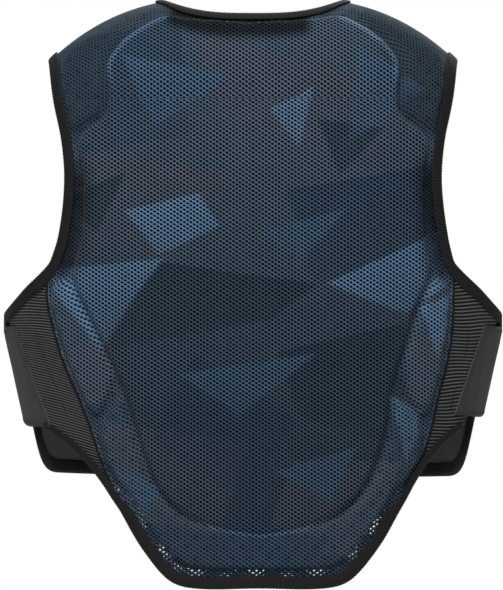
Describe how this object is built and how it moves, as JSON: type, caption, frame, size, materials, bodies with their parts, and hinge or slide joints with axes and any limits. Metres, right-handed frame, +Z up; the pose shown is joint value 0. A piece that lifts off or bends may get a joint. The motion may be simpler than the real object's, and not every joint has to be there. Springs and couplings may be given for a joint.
{
  "type": "motorcycle protective vest",
  "caption": "Sleeveless padded vest with a mesh back over a moulded protector, stretch side panels, waist belts that wrap forward and ribbed tape on its edges; guards a rider's back.",
  "frame": {"origin": "midway between the shoulders, level with the inner faces of the shoulder straps at half their length", "axes": "+Z up, +Y the way the wearer faces, +X to the wearer's right; the back of the vest faces -Y"},
  "size_m": [0.5072, 0.2694, 0.5949],
  "materials": {
    "mesh": "printed air mesh",
    "foam": "moulded foam",
    "stretch": "ribbed elastic cloth",
    "belt": "brushed loop cloth",
    "tape": "ribbed woven tape",
    "piping": "thin woven piping"
  },
  "bodies": {
    "root": {"back_cover": "mesh", "back_protector": "foam", "front_panel": "mesh", "side_panel_left": "stretch", "side_panel_right": "stretch", "belt_left": "belt", "belt_right": "belt", "neck_binding": "tape", "armhole_binding_left": "tape", "armhole_binding_right": "tape", "hem_binding": "tape", "front_binding": "tape", "seam_piping_left": "piping", "seam_piping_right": "piping"}
  },
  "joints": []
}
